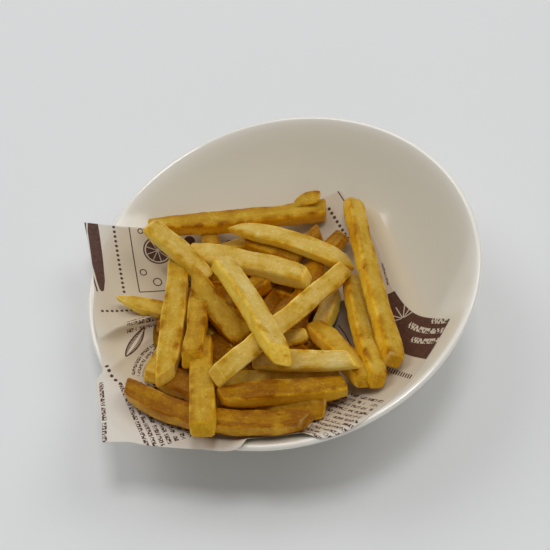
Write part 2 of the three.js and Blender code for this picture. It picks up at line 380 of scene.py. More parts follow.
# A point of the flattened wall, put on the wall and raised off it. Past the rim the sheet
# turns about the lip and runs on straight.
def onWall(x, y, raised):
    compass = np.arctan2(y, x)
    reach = rimReach(compass)
    far = np.hypot(x, y) / liner["radius"]
    past = (far - reach) * liner["radius"]
    angle = np.minimum(far, reach)
    gap = halfWall(heading(angle, compass)) + liner["clearance"] + raised
    out = (bowl["shell"] - gap) * np.sin(angle)
    up = -(bowl["shell"] - gap) * np.cos(angle)
    turn = np.maximum(reach - liner["flop"], 0.05)
    bent = np.clip(past / (gap * turn), 0, 1) * turn
    straight = np.maximum(past - gap * turn, 0)
    slope = reach - bent
    lipOut, lipUp = bowl["shell"] * np.sin(reach), -bowl["shell"] * np.cos(reach)
    over = past > 0
    out = np.where(over, lipOut - gap * np.sin(slope) + straight * np.cos(slope), out)
    up = np.where(over, lipUp + gap * np.cos(slope) + straight * np.sin(slope), up)
    spread = np.stack([out * np.cos(compass), out * np.sin(compass), up], -1)
    return centre + spread


# A smooth curve through a few points, at shares 0 to 1 of its length (Catmull-Rom).
def through(points, share):
    path = np.array(points, float)
    path = np.concatenate([[2 * path[0] - path[1]], path, [2 * path[-1] - path[-2]]])
    fine = np.linspace(0, len(path) - 3, 600)
    k = np.minimum(fine.astype(int), len(path) - 4)
    t = (fine - k)[:, None]
    a, b, c, d = path[k], path[k + 1], path[k + 2], path[k + 3]
    curve = 0.5 * (2 * b + (c - a) * t + (2 * a - 5 * b + 4 * c - d) * t ** 2
                   + (3 * b - a - 3 * c + d) * t ** 3)
    walked = np.concatenate([[0], np.cumsum(np.linalg.norm(np.diff(curve, axis=0), axis=1))])
    walked /= walked[-1]
    return np.stack([np.interp(share, walked, curve[:, i]) for i in (0, 1)], -1)


# The flat sheet between its four edges: a Coons patch.
def sheetPoints(u, v):
    bottom, top = through(liner["bottom"], u), through(liner["top"], u)
    left, right = through(liner["left"], v), through(liner["right"], v)
    u, v = u[None, :, None], v[:, None, None]
    ruled = bottom[None] * (1 - v) + top[None] * v + left[:, None] * (1 - u) + right[:, None] * u
    corners = (bottom[0] * (1 - u) * (1 - v) + bottom[-1] * u * (1 - v)
               + top[0] * (1 - u) * v + top[-1] * u * v)
    return ruled - corners


# A ridge falls off to each side as exp(-1.3 s), where s is the way across over the side's
# width, rounded at the crest, and past its two ends as exp(-d^2).
def pleatHeight(x, y):
    height = np.zeros_like(x)
    for (ax, ay), (bx, by), tall, wideLeft, wideRight in pleats:
        length = np.hypot(bx - ax, by - ay)
        along = ((x - ax) * (bx - ax) + (y - ay) * (by - ay)) / length
        beside = ((x - ax) * (by - ay) - (y - ay) * (bx - ax)) / length
        beyond = np.maximum(np.maximum(-along, along - length), 0)
        wide = np.where(beside < 0, wideLeft, wideRight)
        slope = np.sqrt((beside / wide) ** 2 + 0.05) - np.sqrt(0.05)
        height += tall * np.exp(-1.3 * slope - (beyond / (wideLeft + wideRight)) ** 2)
    return height


def makeLiner(material):
    u, v = np.linspace(0, 1, liner["columns"]), np.linspace(0, 1, liner["rows"])
    flat = sheetPoints(u, v)
    x, y = flat[..., 0], flat[..., 1]
    raised = pleatHeight(x, y)
    half = liner["thickness"] / 2
    faces = [onWall(x * mm, y * mm, raised * mm + side) for side in (half, -half)]
    count = liner["rows"] * liner["columns"]
    points = np.concatenate([f.reshape(-1, 3) for f in faces])
    face = gridFaces(liner["rows"], liner["columns"], False)
    index = np.arange(count).reshape(liner["rows"], liner["columns"])
    border = np.concatenate([index[0, :-1], index[:-1, -1], index[-1, :0:-1], index[:0:-1, 0]])
    ahead = np.roll(border, -1)
    rim = np.stack([border, border + count, ahead + count, ahead], -1)
    quads = np.concatenate([face, face[:, ::-1] + count, rim])
    uv = np.concatenate([flat.reshape(-1, 2)] * 2) * mm * 10 + 0.5
    past = np.hypot(x, y) * mm - rimReach(np.arctan2(y, x)) * liner["radius"]
    free = np.clip(past / (12 * mm) + 0.5, 0, 1).ravel()
    marks = dict(printed=np.repeat([1.0, 0.3], count), free=np.tile(free, 2))
    piece = makePiece("printed_liner", points, quads, [], material, marks, uv, len(rim))
    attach(piece, "root")
    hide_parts("paper_liner")
    return piece


# The print, in millimetres on the flat sheet. It is plain newsprint dressing: dots, frames,
# rings, a spoked wheel, fields of brown, and rows of strokes that only look like words.
printed = dict(
    # from, to, width
    strokes=[
        ((-59.4, 42.5), (-50.5, 4.3), 0.62),
        ((-50.5, 4.3), (-30.0, 9.9), 0.62),
        ((58.9, 63.1), (63.3, 54.6), 0.65),
        ((55.3, -18.6), (58.6, -25.4), 0.7),
        ((58.6, -25.4), (61.8, -35.0), 0.7),
        ((-83.6, 43.0), (-81.4, 28.2), 0.8),
        ((-81.4, 28.2), (-77.4, 11.3), 0.8),
        ((-77.4, 11.3), (-72.6, -1.4), 0.8),
    ],
    # from, to, spacing, radius
    dotRows=[
        ((-67.8, 40.0), (-58.5, 2.0), 2.75, 0.82),
        ((-68.9, -13.3), (-46.1, -6.6), 2.6, 0.8),
        ((53.3, 53.9), (62.6, 35.0), 3.1, 0.95),
        ((-25.5, 39.4), (-2.0, 38.0), 22.0, 3.0),
    ],
    # centre, radius, from and to (degrees), spacing (degrees), radius of a dot
    dotArcs=[((-46.8, -45.6), 17.4, 199.5, 245.0, 10.5, 0.95)],
    # centre, radius, width
    rings=[
        ((-52.9, 41.1), 1.35, 0.62),
        ((-49.4, 17.0), 1.7, 0.62),
        ((-41.4, 12.6), 2.2, 0.62),
        ((-42.6, 31.6), 7.6, 0.85),
    ],
    # centre, radius, spokes
    wheels=[((-42.6, 31.6), 6.5, 9)],
    # start of the first row, heading (degrees), length, rows, spacing, height of a row;
    # a spacing above zero puts the next row on the left of the heading
    text=[
        ((-65.6, -62.0), -80.5, 40.0, 1, 2.8, 2.1),
        ((-56.4, -61.0), -67.5, 48.0, 14, 3.5, 2.1),
        ((-58.5, -20.8), 33.0, 23.0, 3, -1.9, 1.2),
        ((50.0, -57.5), -45.5, 42.6, 12, -3.6, 1.9),
        ((80.6, 13.5), -80.0, 16.0, 2, 1.9, 1.2),
    ],
    # centre, radius of the first row, from and to (degrees), rows, spacing, height; a
    # spacing above zero puts the next row nearer to the centre
    textArcs=[((-15.6, -51.3), 34.6, 122.0, 182.0, 3, 2.6, 1.6)],
    paleArcs=[
        ((134.0, -8.3), 42.6, 227.5, 243.0, 1, 6.5, 3.4),
        ((134.0, -8.3), 49.1, 212.0, 243.0, 1, 6.5, 3.4),
        ((134.0, -8.3), 55.8, 223.0, 243.0, 1, 6.5, 3.4),
    ],
    # from, to, spacing, height, lean of a dash
    dashes=[((78.0, -58.0), (93.6, -77.2), 2.0, 2.9, 0.45)],
    # corners, going round anticlockwise
    bands=[
        [(-82.3, 46.0), (-81.4, 35.0), (-76.9, 14.5), (-73.6, 5.1), (-71.7, 0.5), (-70.5, -0.7),
         (-69.2, 0.2), (-69.3, 6.7), (-71.3, 17.4), (-75.1, 35.3), (-77.7, 46.0)],
        [(77.0, -8.0), (86.0, -49.5), (94.6, -59.5), (102.8, -68.2), (121.0, -42.0), (96.0, -6.0)],
    ],
    faded=[[(50.0, -2.0), (50.0, -26.0), (58.0, -39.0), (68.0, -36.0), (66.0, -4.0)]],
    # hub, length, heading of the first and last spoke (degrees), spokes
    fans=[((90.5, -27.6), 9.5, 20.0, 170.0, 6)],
    # from, to, half width
    leaves=[((-54.6, -42.0), (-46.5, -19.0), 2.5)],
)

paper = dict(
    overBowl=(0.65, 0.555, 0.42),  # the bowl shows through where the sheet lies on it
    free=(0.76, 0.715, 0.64),
    ink=(0.076, 0.020, 0.010),
    fadedInk=(0.15, 0.105, 0.078),
    stain=(0.52, 0.43, 0.31),
    roughness=0.5,
)


# Draws with inks on the sheet's own map, in millimetres. A drawing is a value of 0 or 1.
class Press(Wiring):
    def __init__(self, name):
        super().__init__(name)
        unwrap = self.add("ShaderNodeUVMap", uv_map="sheet").outputs["UV"]
        centred = self.add("ShaderNodeVectorMath", {0: unwrap, 1: (-0.5, -0.5, 0)}, operation="ADD")
        scaled = self.add("ShaderNodeVectorMath", {0: centred.outputs[0], "Scale": 100.0}, operation="SCALE")
        self.sheet = scaled.outputs[0]

    def seenFrom(self, start, turn=0.0):
        values = {"Vector": self.sheet, "Location": (*start, 0), "Rotation": (0, 0, turn)}
        mapped = self.add("ShaderNodeMapping", values, vector_type="TEXTURE").outputs[0]
        parts = self.add("ShaderNodeSeparateXYZ", {"Vector": mapped})
        return parts.outputs["X"], parts.outputs["Y"]

    def alongLine(self, start, end):
        across, up = end[0] - start[0], end[1] - start[1]
        return *self.seenFrom(start, np.arctan2(up, across)), float(np.hypot(across, up))

    def near(self, value, middle, reach):
        return self.calc("COMPARE", value, middle, reach)

    def both(self, first, second):
        return self.calc("MULTIPLY", first, second)

    def either(self, drawings):
        whole = drawings[0]
        for drawing in drawings[1:]:
            whole = self.calc("MAXIMUM", whole, drawing)
        return whole

    def away(self, x, y):
        return self.calc("SQRT", self.calc("MULTIPLY_ADD", x, x, self.both(y, y)))

    def stroke(self, start, end, width):
        s, t, length = self.alongLine(start, end)
        return self.both(self.near(s, length / 2, length / 2), self.near(t, 0.0, width / 2))

    def repeated(self, value, spacing):
        return self.calc("WRAP", value, spacing / 2, -spacing / 2)

    def dots(self, start, end, spacing, radius):
        s, t, length = self.alongLine(start, end)
        spot = self.calc("LESS_THAN", self.away(self.repeated(s, spacing), t), radius)
        return self.both(spot, self.near(s, length / 2, length / 2 + radius))

    # Polar place about a centre: how far round, in millimetres at a radius, and how far out.
    def around(self, centre, radius, first):
        x, y = self.seenFrom(centre, np.radians(first))
        return self.calc("MULTIPLY", self.calc("ARCTAN2", y, x), radius), self.away(x, y)

    def dotArc(self, centre, radius, first, last, spacing, size):
        s, far = self.around(centre, radius, first)
        length, spacing = radius * np.radians(last - first), radius * np.radians(spacing)
        off = self.away(self.repeated(s, spacing), self.calc("SUBTRACT", far, radius))
        return self.both(self.calc("LESS_THAN", off, size), self.near(s, length / 2, length / 2 + size))

    def ring(self, centre, radius, width):
        return self.near(self.away(*self.seenFrom(centre)), radius, width / 2)

    def wheel(self, centre, radius, spokes):
        x, y = self.seenFrom(centre, 0.2)
        far = self.away(x, y)
        turn = self.repeated(self.calc("ARCTAN2", y, x), 2 * np.pi / spokes)
        gap = self.near(self.both(turn, far), 0.0, 0.22)
        return self.both(self.calc("LESS_THAN", far, radius), self.calc("SUBTRACT", 1.0, gap))

    # Rows of strokes like small print: thresholded noise, cut up by a coarser noise into words.
    def script(self, s, t, length, rows, spacing, height):
        row = self.calc("FLOOR", self.calc("DIVIDE", t, abs(spacing)))
        offset = self.calc("MULTIPLY_ADD", row, -abs(spacing), t)
        inRow = self.near(offset, height / 2, height / 2)
        place = {"X": s, "Y": self.calc("MULTIPLY", offset, 0.6), "Z": self.calc("MULTIPLY", row, 9.1)}
        fine = self.add("ShaderNodeCombineXYZ", place).outputs[0]
        coarse = self.add("ShaderNodeCombineXYZ", {"X": s, "Y": self.calc("MULTIPLY", row, 7.7)}).outputs[0]
        letters = self.calc("GREATER_THAN", self.noise(fine, 3.0 / height, 0.0), 0.455)
        words = self.calc("GREATER_THAN", self.noise(coarse, 0.8 / height, 0.0), 0.35)
        inside = self.both(self.near(s, length / 2, length / 2), inRow)
        first = -rows if spacing < 0 else 0
        inside = self.both(inside, self.near(t, (first + rows / 2) * abs(spacing), rows / 2 * abs(spacing)))
        return self.both(self.both(letters, words), inside)

    def text(self, start, turn, length, rows, spacing, height):
        s, t = self.seenFrom(start, np.radians(turn))
        return self.script(s, t, length, rows, spacing, height)

    def textArc(self, centre, radius, first, last, rows, spacing, height):
        s, far = self.around(centre, radius, first)
        length = radius * np.radians(last - first)
        return self.script(s, self.calc("SUBTRACT", radius, far), length, rows, spacing, height)

    def dashRow(self, start, end, spacing, height, lean):
        s, t, length = self.alongLine(start, end)
        slanted = self.repeated(self.calc("MULTIPLY_ADD", t, lean, s), spacing)
        return self.both(self.both(self.near(slanted, 0.0, 0.56), self.near(t, 0.0, height / 2)),
                         self.near(s, length / 2, length / 2))

    # Inside of a convex outline: on the left of each of its sides.
    def field(self, corners):
        whole = None
        for start, end in zip(corners, corners[1:] + corners[:1]):
            t = self.seenFrom(start, np.arctan2(end[1] - start[1], end[0] - start[0]))[1]
            side = self.calc("GREATER_THAN", t, 0.0)
            whole = side if whole is None else self.both(whole, side)
        return whole

    def fan(self, hub, length, first, last, count):
        x, y = self.seenFrom(hub, np.radians(first))
        far = self.away(x, y)
        step = np.radians(last - first) / (count - 1)
        angle = self.calc("ARCTAN2", y, x)
        thin = self.near(self.both(self.repeated(angle, step), far), 0.0, 0.3)
        spread = self.near(angle, step * (count - 1) / 2, step * (count - 0.4) / 2)
        return self.both(self.both(thin, spread), self.near(far, length / 2 + 0.6, length / 2))

    # A pointed leaf: its half width is w(1 - (2s/L - 1)^2), with a hatched band inside its edge.
    def leaf(self, start, end, wide):
        s, t, length = self.alongLine(start, end)
        share = self.calc("MULTIPLY_ADD", s, 2 / length, -1.0)
        half = self.calc("MULTIPLY", self.calc("SUBTRACT", 1.0, self.both(share, share)), wide)
        off = self.calc("ABSOLUTE", t)
        outline = self.near(off, half, 0.4)
        rib = self.calc("MULTIPLY", half, 0.3)
        band = self.both(self.calc("LESS_THAN", off, half), self.calc("GREATER_THAN", off, rib))
        hatch = self.near(self.repeated(self.calc("MULTIPLY_ADD", off, 0.8, s), 1.15), 0.0, 0.38)
        drawing = self.calc("MAXIMUM", outline, self.both(band, hatch))
        return self.both(drawing, self.near(s, length / 2, length / 2))


def paperMaterial():
    press = Press("printed_greaseproof")
    kinds = dict(strokes=press.stroke, dotRows=press.dots, dotArcs=press.dotArc, rings=press.ring,
                 wheels=press.wheel, text=press.text, textArcs=press.textArc, dashes=press.dashRow,
                 leaves=press.leaf)
    drawn = [draw(*row) for kind, draw in kinds.items() for row in printed[kind]]
    bands = press.either([press.field(corners) for corners in printed["bands"]])
    pale = press.either([press.textArc(*row) for row in printed["paleArcs"]]
                        + [press.fan(*row) for row in printed["fans"]])
    ink = press.either(drawn + [press.both(bands, press.calc("SUBTRACT", 1.0, pale))])
    faded = press.either([press.field(corners) for corners in printed["faded"]])
    where = press.add("ShaderNodeTexCoord").outputs["Object"]
    fibres = press.noise(where, 700.0, 3.0)
    cloud = press.noise(where, 60.0, 2.0)
    side = press.add("ShaderNodeAttribute", attribute_name="printed").outputs["Fac"]
    free = press.add("ShaderNodeAttribute", attribute_name="free").outputs["Fac"]
    sheet = press.mix(free, (*paper["overBowl"], 1), (*paper["free"], 1))
    sheet = press.mix(press.calc("MULTIPLY", cloud, 0.14), sheet, (*paper["stain"], 1))
    soft = press.calc("MULTIPLY_ADD", fibres, 0.12, 0.90, clamp=True)
    sheet = press.mix(press.both(faded, press.calc("MULTIPLY", side, 0.8)), sheet, (*paper["fadedInk"], 1))
    sheet = press.mix(press.both(press.both(ink, soft), side), sheet, (*paper["ink"], 1))
    press.set(Base_Color=sheet)
    press.set(Roughness=paper["roughness"], Specular_IOR_Level=0.2)
    press.set(Normal=press.bump(fibres, 0.2, 0.12 * mm))
    return press.material


makeLiner(paperMaterial())
print("liner made")


# One row a fry, in millimetres from the foot's axis: its two ends, width, height, roll
# (degrees), bow, what is left of the thickness at each end, the length over which each end
# thins, how far each end's cut slants to the side and how far it faces up (degrees), and
# how brown its top faces and its sides are, from 0 to 1. The tones are partly painted
# light and shade: a side's tone is set paler where the side lies in shade, and pieces that
# lie in the heap's dark gaps take darker browns as painted shade.
fries = [
    ((-46.3, 38.3, 26.5), (49.2, 48.5, 28.5), 10.2, 9.4, 0, -0.6,
     (0.78, 1.12), (60, 6), (0, 6), (0, 0), (0.57, 0.52)),
    ((63, 48.5, 38), (76.2, -59.7, 53), 9.2, 8.2, -20, -0.8,
     (0.72, 0.92), (9, 8), (10, 8), (24, 20), (0.5, 0.52)),
    ((60.2, 3.1, 30), (68.7, -69.6, 52), 8.6, 8.4, -15, -1,
     (0.85, 0.85), (10, 10), (0, -12), (0, 20), (0.44, 0.5)),
    ((58.4, 30.4, 31), (39, 12, 20), 9.6, 8.8, 10, 0,
     (0.8, 1), (10, 6), (0, 0), (0, 0), (0.85, 0.62)),
    ((46.1, 33.7, 28), (28, 22, 19), 9.6, 8.6, -15, 0,
     (0.9, 1), (10, 6), (20, 0), (0, 0), (0.92, 0.78)),
    ((-15, 46, 22), (-11, 24, 16), 10, 9.2, 0, 0,
     (1, 1), (10, 6), (0, 0), (0, 0), (0.78, 0.66)),
    ((24, 37, 20), (-12, 27, 16), 8.8, 8.8, 20, 0,
     (0.9, 0.9), (10, 10), (0, 0), (0, 0), (0.5, 0.38)),
    ((16.9, 6.3, 24), (-10.8, -18.9, 19), 9.8, 9.8, 15, 0,
     (1, 1), (10, 10), (0, 0), (0, 0), (0.8, 0.72)),
    ((44, 7, 21), (18, -20, 16), 9.6, 9.4, 0, 0,
     (1, 0.9), (10, 10), (0, 0), (0, 0), (0.95, 0.85)),
    ((47, 21, 24), (32, -15, 26), 9.2, 9.2, 10, 0,
     (1, 1), (10, 10), (0, 0), (0, 0), (0.82, 0.55)),
    ((52, -1, 23), (43, -30, 23), 9, 8.6, 25, 0,
     (0.9, 0.7), (10, 10), (0, 0), (0, 0), (0.22, 0.22)),
    ((-11, -15, 16), (3, -49, 24), 9.8, 9.4, 0, 0,
     (1, 1), (10, 10), (0, 0), (0, 0), (1, 0.85)),
    ((-33.6, -52.8, 28), (4.3, -74.8, 34), 11, 8.8, 0, 0,
     (0.9, 1), (10, 10), (0, 0), (0, 0), (0.95, 0.7)),
    ((-31.4, -35.1, 24), (-37.6, -56.2, 32), 9, 8.4, 0, 0,
     (1, 0.9), (10, 10), (0, 0), (0, 16), (0.35, 0.25)),
    ((-7, -58, 29), (52, -60, 38), 9.2, 8.8, 10, 0,
     (1, 0.9), (10, 10), (0, 0), (0, 0), (0.42, 0.35)),
    ((44.7, -78.6, 42), (-0.2, -76.3, 36), 10.5, 8.6, -20, 0,
     (0.85, 1), (10, 10), (10, 0), (0, 0), (0.7, 0.35)),
    ((6, 31, 25), (35, 18, 24), 9, 8.6, 0, 0,
     (1, 1), (10, 10), (0, 0), (0, 0), (0.68, 0.5)),
    ((-59.3, -7.3, 27), (-32, -8.4, 17), 9.2, 6.8, 0, -1,
     (0.22, 1), (24, 10), (-20, 0), (0, 0), (0.39, 0.22)),
    ((-48, -65.4, 38), (36.9, -88.3, 51), 10.6, 8.6, -10, -8.6,
     (0.9, 0.8), (12, 14), (-12, 28), (0, 10), (0.9, 0.7)),
    ((-3.6, -75.4, 49), (54.1, -67.8, 45), 10.2, 9.6, -12, -1,
     (0.7, 0.85), (16, 20), (-20, -10), (0, 10), (0.88, 0.48)),
    ((-23.8, 24, 24), (38.5, 0.6, 33), 10.8, 9.8, 0, 1,
     (0.8, 0.9), (14, 8), (0, -4), (0, 22), (0.26, 0)),
    ((-29.2, 25.3, 20), (-30.7, -59.2, 37), 11.4, 9.2, 0, 1,
     (0.8, 0.78), (14, 26), (0, -42), (0, 30), (0.45, 0.1)),
    ((-16.1, -5.6, 30), (-17.6, -52.4, 42), 9.8, 9.4, 0, 0,
     (0.85, 0.98), (14, 6), (0, -6), (0, 22), (0.65, 0.5)),
    ((17.2, -38.1, 28), (37.3, -32.3, 34), 8.6, 7.4, 20, 0,
     (1, 0.6), (10, 8), (0, 0), (0, 0), (0.32, 0.3)),
    ((41, -27, 30), (62.9, -68, 49), 9.8, 9, -10, 1,
     (0.9, 0.8), (10, 12), (0, 24), (0, 10), (0.55, 0.36)),
    ((12, -51, 38), (57.9, -59.6, 54), 9.6, 8.8, 12, 0,
     (1, 0.85), (10, 10), (0, -34), (0, 12), (0.19, 0.05)),
    ((-14.7, -35.4, 31), (-10.1, -95.9, 56), 11.4, 9, 0, 0,
     (0.95, 0.96), (10, 6), (0, 3), (0, 14), (0.58, 0.5)),
    ((-20.8, -1.9, 37), (7.2, -30.6, 26), 13, 9.6, 10, -1,
     (0.75, 1), (20, 10), (-48, 0), (0, 0), (0.62, 0.6)),
    ((-44.9, 31.6, 38), (-13.5, 6, 24), 10.4, 8.6, -10, 1,
     (0.8, 1), (8, 10), (0, 0), (16, 0), (0.25, 0.22)),
    ((-0.1, 34.6, 32), (60.9, 10.8, 32), 10.4, 7.8, 0, 2,
     (0.5, 0.66), (18, 18), (48, -46), (0, 0), (0.26, 0.2)),
    ((-4.6, -69, 55), (56.6, 4.6, 35), 9.8, 9.2, 18, 0,
     (0.96, 0.96), (6, 8), (8, 0), (10, 0), (0.37, 0.06)),
    ((-5.4, 4.1, 43), (24.5, -60.4, 60), 10.2, 9.4, -18, 0.5,
     (1, 0.8), (8, 14), (0, 30), (6, 48), (0.23, 0.26)),
]

# A flake of skin and a few crumbs, as rows of the same kind.
crumbs = [
    ((31.8, 48.5, 32.5), (45.7, 51.1, 36.5), 7.5, 2, 12, 2.2,
     (0.45, 0.7), (8, 4), (0, 30), (0, 0), (0.5, 0.5)),
    ((34.6, 5.8, 37.2), (35.8, 5.3, 37.2), 1.3, 1, 0, 0,
     (0.7, 0.7), (1, 1), (0, 0), (0, 0), (0.12, 0.12)),
    ((22.7, -86.1, 52.8), (24.3, -85.9, 52.8), 1.5, 1, 0, 0,
     (0.8, 0.8), (1, 1), (0, 0), (0, 0), (0.75, 0.75)),
    ((43.5, -55.2, 54), (44.2, -54.3, 54), 1.1, 0.8, 0, 0,
     (0.8, 0.5), (1, 1), (0, 0), (0, 0), (0.15, 0.15)),
]

fryShape = dict(
    squareness=6.6,            # exponent of the section's superellipse
    hollowing=0.02,            # how far the four sides sink in
    around=32,
    step=1.9 * mm,             # from row to row along the bar
    endRound=1.4 * mm,
    slantReach=8.5 * mm,       # how far from its end a slanted cut bends the bar
    dent=0.24 * mm,
    dentSpread=17 * mm,
    blister=0.075 * mm,
    blisterSpread=4.5 * mm,
    wobble=0.3 * mm,
    crowding=0.13,             # pulls points towards the four edges of the section
)

# What fills the bowl under the fries that show: a lens of pieces pressed together, and
# short fries lying on it. Both take dark browns, painted shade for the gaps between the fries.
heapCore = dict(
    middle=np.array([5, -19]) * mm,
    half=np.array([46, 44]) * mm,
    height=9 * mm,
    bumps=0.8 * mm,
    fillers=34,
    fillerLength=(28, 54),
    fillerSize=(8.6, 10.4),
    raised=(4.5, 11.0),        # millimetres of a short fry's middle over the wall
)


# A rounded bar: the section |x|^n + |y|^n = 1 carried along a bowed line. Its rows stop
# short at each end, shrink round a quarter circle and close to a point on the cut. Near an
# end each point also moves along the bar by its height times the tangent of the cut's slant.
def fryPoints(row, draw):
    start, end, width, height, roll, bow, tips, tapers, slants, facing, tones = row
    start, end = np.array(start) * mm, np.array(end) * mm
    line = end - start
    length = np.linalg.norm(line)
    along = line / length
    level = np.cross((0, 0, 1), along)
    level /= np.linalg.norm(level)
    upright = np.cross(along, level)
    turn = np.radians(roll)
    side = np.cos(turn) * level + np.sin(turn) * upright
    up = np.cos(turn) * upright - np.sin(turn) * level
    half = min(width, height) / 2 * mm
    rounding = min(fryShape["endRound"] * draw.uniform(0.75, 1.35), 0.8 * half)
    bend = np.radians(np.linspace(90, 0, 7))
    capStep = np.array([0.3, 0.6, 0.85])
    offset = np.concatenate([0 * capStep, rounding * (1 - np.sin(bend))])
    shrink = np.concatenate([(1 - rounding / half) * capStep, 1 - rounding / half * (1 - np.cos(bend))])
    steps = max(6, round(length / fryShape["step"]))
    middle = np.linspace(rounding, length - rounding, steps + 1)[1:-1]
    place = np.concatenate([offset, middle, length - offset[::-1]])
    scale = np.concatenate([shrink, np.ones(len(middle)), shrink[::-1]])
    t = place / length
    left = [1 - (1 - tip) * np.clip(1 - off / (taper * mm), 0, 1) ** 2
            for tip, off, taper in zip(tips, (place, length - place), tapers)]
    thin = np.minimum(*left)
    wide = 1 + 0.04 * np.sin(2 * np.pi * (t * draw.uniform(0.5, 1.3) + draw.uniform()))
    tall = 1 + 0.04 * np.sin(2 * np.pi * (t * draw.uniform(0.5, 1.3) + draw.uniform()))
    twist = np.radians(draw.uniform(-6, 6)) * (t - 0.5)
    # points crowd together at the four edges of the section
    angle = np.linspace(0, 2 * np.pi, fryShape["around"], endpoint=False)
    angle = angle + fryShape["crowding"] * np.sin(4 * angle)
    n = fryShape["squareness"] * draw.uniform(0.8, 1.2)
    n = n * (1 + 0.22 * np.sin(2 * np.pi * (1.3 * t + draw.uniform())))[:, None]
    radius = (np.abs(np.cos(angle)) ** n + np.abs(np.sin(angle)) ** n) ** (-1 / n)
    radius *= 1 - fryShape["hollowing"] * np.cos(2 * angle) ** 2
    cx, cy = radius * np.cos(angle), radius * np.sin(angle)
    leaning = draw.uniform(-0.08, 0.08)
    x = (width / 2 * mm * scale * thin * wide)[:, None] * (cx + leaning * cy)
    y = (height / 2 * mm * scale * thin * tall)[:, None] * cy
    turned = np.cos(twist)[:, None], np.sin(twist)[:, None]
    x, y = x * turned[0] - y * turned[1], x * turned[1] + y * turned[0]
    slantA, slantB = np.tan(np.radians(slants))
    reachA, reachB = fryShape["slantReach"] * np.maximum(1, 1.1 * np.abs([slantA, slantB]))
    nearA, nearB = np.exp(-place / reachA), np.exp(-(length - place) / reachB)
    faceA, faceB = np.tan(np.radians(facing))
    forward = place[:, None] + (slantA * nearA + slantB * nearB)[:, None] * x
    forward = forward + (faceA * nearA - faceB * nearB)[:, None] * y
    sag = bow * mm * 4 * t * (1 - t)
    wobble = fryShape["wobble"] * np.sin(2 * np.pi * (t * draw.uniform(0.6, 1.4) + draw.uniform()))
    points = (start + forward[..., None] * along + x[..., None] * side + y[..., None] * up
              + (sag + wobble)[:, None, None] * level)
    outward = np.cos(angle)[:, None] * side + np.sin(angle)[:, None] * up
    dent = fryShape["dent"] * ripple(points, fryShape["dentSpread"], draw)
    dent = dent + fryShape["blister"] * ripple(points, fryShape["blisterSpread"], draw)
    dent *= min(1, half / (4 * mm))
    points = points + (dent * scale[:, None])[..., None] * outward
    even = np.ones_like(x)
    corner = np.clip(np.abs(cx * cy) * 2.0 - 0.7, 0, 1) * even
    # share of a side face, which takes the painted side light and the side's tone; the cut ends take 0.6 of
    # it
    paintedFlankLight = np.clip((np.abs(cx) - np.abs(cy)) * 2.5 + 0.5, 0, 1) * even
    onEnd = np.clip((0.97 - scale) / 0.12, 0, 1)[:, None]
    paintedFlankLight = paintedFlankLight * (1 - onEnd) + 0.6 * onEnd
    corner = corner * (1 - onEnd)
    tone = tones[0] * (1 - paintedFlankLight) + tones[1] * paintedFlankLight + draw.uniform(-0.03, 0.03)
    near = np.minimum(place, length - place)
    tip = np.exp(-near / (2.0 * mm))[:, None] * even
    # painted highlight along the rim of each cut end
    lit = np.array([0, 0, 0, 0.1, 0.4, 0.8, 0.8, 0.4, 0.1, 0])
    capRimLight = np.concatenate([lit, np.zeros(len(middle)), lit[::-1]])[:, None] * even
    poles = np.stack([points[0].mean(0), points[-1].mean(0)])
    every = np.concatenate([points.reshape(-1, 3), poles])
    own = np.stack([place[:, None] * even + draw.uniform(), x, y], -1).reshape(-1, 3)
    own = np.concatenate([own, own[[0, -1]]])
    marks = dict(corner=np.append(corner.ravel(), [0, 0]), tip=np.append(tip.ravel(), [1, 1]),
                 edge=np.append(capRimLight.ravel(), [0, 0]), paintedFlankLight=np.append(paintedFlankLight.ravel(), [0.6, 0.6]),
                 tone=np.append(tone.ravel(), [tones[1], tones[1]]), own=own)
    return every, marks, len(place)


# Keeps points off the paper: what lies outside the sphere of the wall goes back onto it.
def insideBowl(points):
    room = liner["radius"]
    away = points - (0, 0, bowl["centreHeight"])
    far = np.linalg.norm(away, axis=-1, keepdims=True)
    return points - away * np.maximum(1 - room / far, 0)


# Height of the sheet's upper side under a point.
def wallHeight(x, y):
    return bowl["centreHeight"] - np.sqrt(liner["radius"] ** 2 - x ** 2 - y ** 2)


# The lens: over each point of an ellipse, at a share r of the way out, its top stands
# height * (1 - r^2) * (1 + (1 - r^2)^(1/2)) / 2 over the wall. A minus gives the underside.
def corePoints(draw):
    turns, rings = 96, 26
    share = np.linspace(0, 1, rings)[1:]
    compass = np.linspace(0, 2 * np.pi, turns, endpoint=False)
    ring = np.stack([np.cos(compass), np.sin(compass)], -1)

    def layer(raise_):
        flat = heapCore["middle"] + heapCore["half"] * share[:, None, None] * ring[None]
        wall = wallHeight(flat[..., 0], flat[..., 1])
        room = (1 - share ** 2)[:, None]
        tall = heapCore["height"] * room * (1 + raise_ * np.sqrt(room)) / 2
        return np.concatenate([flat, (wall + tall)[..., None]], -1)

    top, bottom = layer(1.0), layer(-1.0)[:-1]
    top[..., 2] += heapCore["bumps"] * ripple(top, 11 * mm, draw) * (1 - share ** 4)[:, None]
    grid = np.concatenate([top, bottom[::-1]])
    x, y = heapCore["middle"]
    wall = wallHeight(x, y)
    crown = np.array([[x, y, grid[0, :, 2].mean()], [x, y, wall]])
    return np.concatenate([grid.reshape(-1, 3), crown]), len(grid), turns


